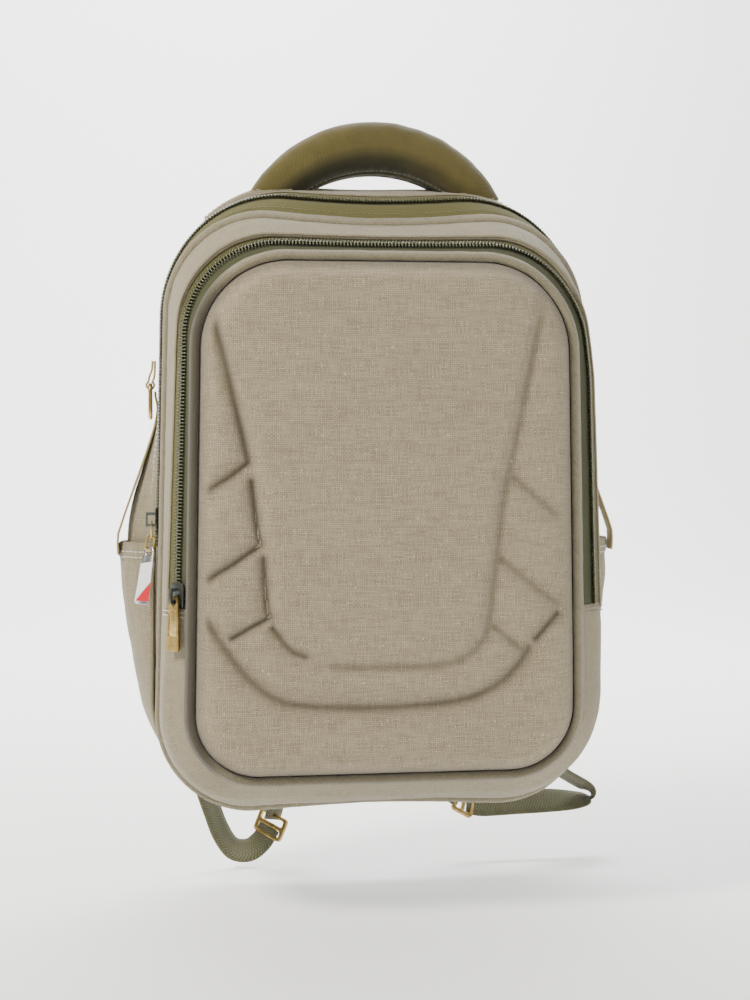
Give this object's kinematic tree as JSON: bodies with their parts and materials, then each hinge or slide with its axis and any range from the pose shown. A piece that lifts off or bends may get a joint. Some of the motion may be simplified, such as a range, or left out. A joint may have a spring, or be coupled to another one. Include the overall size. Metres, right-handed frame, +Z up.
{
  "type": "flight bag",
  "caption": "Canvas flight bag worn as a backpack, with a moulded front panel, zipped compartments, bottle pockets, a carry handle and shoulder straps.",
  "frame": {"origin": "under the middle of the carry handle's grip, where a hook or hand holds the bag", "axes": "+X to the right of someone facing the front, +Y towards the back panel, +Z up"},
  "size_m": [0.3689, 0.1869, 0.5471],
  "materials": {
    "canvas": "matte woven",
    "canvas_moulded": "matte woven, moulded over foam",
    "olive_tape": "matte woven",
    "zip_coil": "satin",
    "khaki_webbing": "ribbed webbing",
    "olive_webbing": "ribbed webbing",
    "handle_cloth": "brushed",
    "air_mesh": "spacer mesh",
    "lining": "matte woven",
    "board": "matte",
    "bronze": "antique, satin",
    "gunmetal": "satin",
    "silver": "polished",
    "tag_enamel": "glossy"
  },
  "bodies": {
    "bag": {"back_panel": "canvas", "rear_piping": "canvas", "main_gusset_upper": "canvas", "main_gusset_lower": "canvas", "main_zip_tape_rear": "olive_tape", "main_zip_chain_rear": "zip_coil", "base_board": "board", "laptop_sleeve": "lining", "sleeve_strap": "olive_webbing", "handle_anchor_left": "khaki_webbing", "handle_anchor_right": "khaki_webbing", "back_pad_left": "air_mesh", "back_pad_right": "air_mesh", "lumbar_pad": "air_mesh", "strap_yoke": "canvas", "side_pocket_left": "canvas", "side_pocket_right": "canvas", "pocket_hem_left": "canvas", "pocket_hem_right": "canvas", "side_tab_left": "khaki_webbing", "side_tab_right": "khaki_webbing", "side_strap_left": "khaki_webbing", "side_strap_right": "khaki_webbing", "corner_tab_left": "khaki_webbing", "corner_tab_right": "khaki_webbing", "strap_webbing_left": "olive_webbing", "strap_webbing_right": "olive_webbing"},
    "front_section": {"divider": "lining", "middle_piping": "canvas", "front_gusset_upper": "canvas", "front_gusset_lower": "canvas", "main_zip_tape_front": "olive_tape", "main_zip_chain_front": "zip_coil", "front_zip_tape_outer": "olive_tape", "front_zip_chain_outer": "zip_coil", "organizer_pocket": "lining", "front_panel_lower": "canvas_moulded", "front_piping_lower": "canvas"},
    "front_flap": {"front_panel_upper": "canvas_moulded", "front_piping_upper": "canvas", "front_zip_tape_inner": "olive_tape", "front_zip_chain_inner": "zip_coil", "badge": "silver"},
    "front_slider": {"front_slider": "gunmetal"},
    "front_puller": {"front_puller": "bronze"},
    "main_slider": {"main_slider": "gunmetal"},
    "main_puller_link": {"main_puller_link": "bronze"},
    "main_puller_ring": {"main_puller_ring": "bronze"},
    "main_pull_tag": {"main_pull_tag": "tag_enamel"},
    "carry_handle": {"handle_grip": "handle_cloth"},
    "side_ring_left": {"side_ring_left": "bronze"},
    "side_ring_right": {"side_ring_right": "bronze"},
    "shoulder_strap_left": {"shoulder_strap_left": "canvas", "strap_tail_left": "olive_webbing"},
    "shoulder_strap_right": {"shoulder_strap_right": "canvas", "strap_tail_right": "olive_webbing"},
    "adjuster_left": {"adjuster_left": "bronze"},
    "adjuster_right": {"adjuster_right": "bronze"}
  },
  "joints": [
    {"name": "main_opening", "type": "hinge", "parent": "bag", "child": "front_section", "pos_m": [0, -0.04385, -0.453], "axis": [1, 0, 0], "range_deg": [0, 15]},
    {"name": "front_flap_opening", "type": "hinge", "parent": "front_section", "child": "front_flap", "pos_m": [0, -0.1095, -0.281], "axis": [1, 0, 0], "range_deg": [0, 70]},
    {"name": "front_slider_travel", "type": "slide", "parent": "front_section", "child": "front_slider", "axis": [0.0275, 0, 0.9996], "range_m": [0, 0.16]},
    {"name": "front_puller_lift", "type": "hinge", "parent": "front_slider", "child": "front_puller", "pos_m": [-0.14517, -0.0855, -0.29487], "axis": [-0.4417, 0.8971, 0.0122], "range_deg": [0, 22]},
    {"name": "main_slider_travel", "type": "slide", "parent": "bag", "child": "main_slider", "axis": [0.0225, 0, 0.9997], "range_m": [0, 0.12]},
    {"name": "main_link_lift", "type": "hinge", "parent": "main_slider", "child": "main_puller_link", "pos_m": [-0.1553, -0.0295, -0.24788], "axis": [-0.0001, 1, 0], "range_deg": [0, 28]},
    {"name": "main_ring_swing", "type": "hinge", "parent": "main_puller_link", "child": "main_puller_ring", "pos_m": [-0.15551, -0.0295, -0.25713], "axis": [-0.0001, 1, 0], "range_deg": [-6, 25]},
    {"name": "main_tag_swing", "type": "hinge", "parent": "main_puller_ring", "child": "main_pull_tag", "pos_m": [-0.15743, -0.0295, -0.26562], "axis": [-0.9753, 0, 0.2207], "range_deg": [-5, 18]},
    {"name": "handle_swing", "type": "hinge", "parent": "bag", "child": "carry_handle", "pos_m": [0.005, 0, -0.012], "axis": [1, 0, 0], "range_deg": [-12, 12]},
    {"name": "side_ring_left_swing", "type": "hinge", "parent": "bag", "child": "side_ring_left", "pos_m": [-0.15527, -0.002, -0.1505], "axis": [0, 1, 0], "range_deg": [0, 50]},
    {"name": "side_ring_right_swing", "type": "hinge", "parent": "bag", "child": "side_ring_right", "pos_m": [0.15527, -0.002, -0.1505], "axis": [0, -1, 0], "range_deg": [0, 50]},
    {"name": "shoulder_strap_left_swing", "type": "hinge", "parent": "bag", "child": "shoulder_strap_left", "pos_m": [-0.046, 0.0485, -0.045], "axis": [1, 0, 0], "range_deg": [0, 12]},
    {"name": "shoulder_strap_right_swing", "type": "hinge", "parent": "bag", "child": "shoulder_strap_right", "pos_m": [0.046, 0.0485, -0.045], "axis": [1, 0, 0], "range_deg": [0, 12]},
    {"name": "adjuster_left_tilt", "type": "hinge", "parent": "shoulder_strap_left", "child": "adjuster_left", "pos_m": [-0.06308, 0.06163, -0.47582], "axis": [-0.647, 0.7202, 0.2503], "range_deg": [-12, 12]},
    {"name": "adjuster_right_tilt", "type": "hinge", "parent": "shoulder_strap_right", "child": "adjuster_right", "pos_m": [0.07726, 0.06371, -0.46519], "axis": [0.3027, 0.7463, 0.5929], "range_deg": [-12, 12]}
  ]
}
